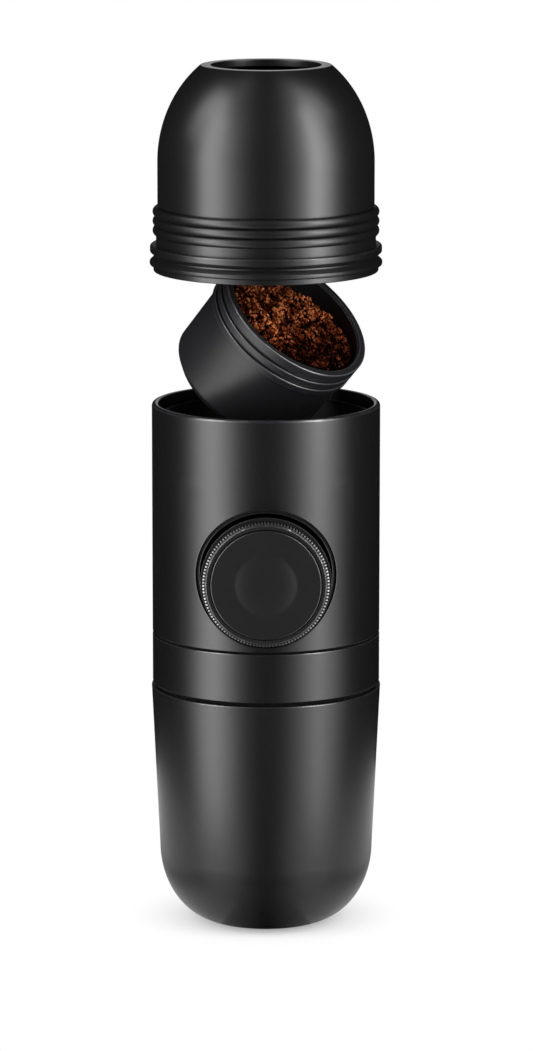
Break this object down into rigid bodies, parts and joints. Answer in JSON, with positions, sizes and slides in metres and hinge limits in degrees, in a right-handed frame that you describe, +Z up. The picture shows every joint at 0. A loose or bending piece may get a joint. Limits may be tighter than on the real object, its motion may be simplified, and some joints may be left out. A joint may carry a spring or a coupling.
{
  "type": "handheld manual espresso maker",
  "caption": "Pocket espresso maker with a round-bottomed water tank, pump body with a push knob, leaning coffee basket and a lifted domed outlet head.",
  "frame": {"origin": "centre of the tank's foot, on the surface it stands on", "axes": "+Z up along the body's axis, -Y to the front where the pump knob is, +X to the right seen from the front"},
  "size_m": [0.0612, 0.069, 0.2294],
  "materials": {
    "body_black": "satin moulded black",
    "tank_black": "satin moulded black",
    "knob_black": "fine matt moulded black",
    "inner_plastic": "plain moulded dark grey",
    "silicone": "soft matt black",
    "stainless": "plain",
    "ground_coffee": "coarse dry grounds"
  },
  "bodies": {
    "tank": {"water_tank": "tank_black", "tank_seal": "silicone"},
    "body": {"body_shell": "body_black", "collar_ring": "body_black", "threaded_neck": "inner_plastic", "vent_valve": "silicone", "base_screws": "stainless", "intake_strainer": "inner_plastic", "intake_tube": "inner_plastic", "chassis": "inner_plastic", "knob_bezel": "knob_black", "bezel_screws": "stainless", "pump_cylinder": "stainless", "cylinder_screws": "stainless", "rod_bush": "inner_plastic", "rod_seal": "silicone", "return_spring": "stainless", "block_gasket": "silicone", "valve_block": "inner_plastic", "inlet_seat": "inner_plastic", "inlet_ball": "stainless", "outlet_ball": "stainless", "delivery_tube": "inner_plastic", "brew_well": "body_black", "well_screws": "stainless", "shower_screen": "stainless", "basket_gasket": "silicone"},
    "piston": {"piston_rod": "stainless", "piston_head": "inner_plastic", "piston_seal": "silicone"},
    "knob": {"knob_body": "knob_black", "knob_cap": "knob_black", "knob_screw": "stainless"},
    "basket": {"basket": "body_black", "basket_filter": "stainless", "coffee_grounds": "ground_coffee"},
    "head": {"head_shell": "body_black", "head_lock_ring": "body_black", "filter_plate": "inner_plastic", "head_screen": "stainless", "head_gasket": "silicone", "nozzle": "inner_plastic", "nozzle_screws": "stainless"}
  },
  "joints": [
    {"name": "body_lift", "type": "slide", "parent": "tank", "child": "body", "axis": [0, 0, 1], "range_m": [0, 0.03]},
    {"name": "head_lift", "type": "slide", "parent": "body", "child": "head", "axis": [0, 0, 1], "range_m": [-0.03415, 0]},
    {"name": "basket_swing", "type": "hinge", "parent": "body", "child": "basket", "pos_m": [0.01456, -0.01154, 0.14623], "axis": [0.6211, 0.7837, 0], "range_deg": [-43, 0]},
    {"name": "piston_slide", "type": "slide", "parent": "body", "child": "piston", "axis": [0, -1, 0], "range_m": [0, 0.018], "deforming": ["return_spring"]},
    {"name": "knob_turn", "type": "hinge", "parent": "piston", "child": "knob", "pos_m": [0, -0.0384, 0.0984], "axis": [0, -1, 0], "range_deg": [0, 45]}
  ],
  "couplings": [
    {"joint": "basket_swing", "follows": "head_lift", "rad_per_m": 21.975}
  ]
}
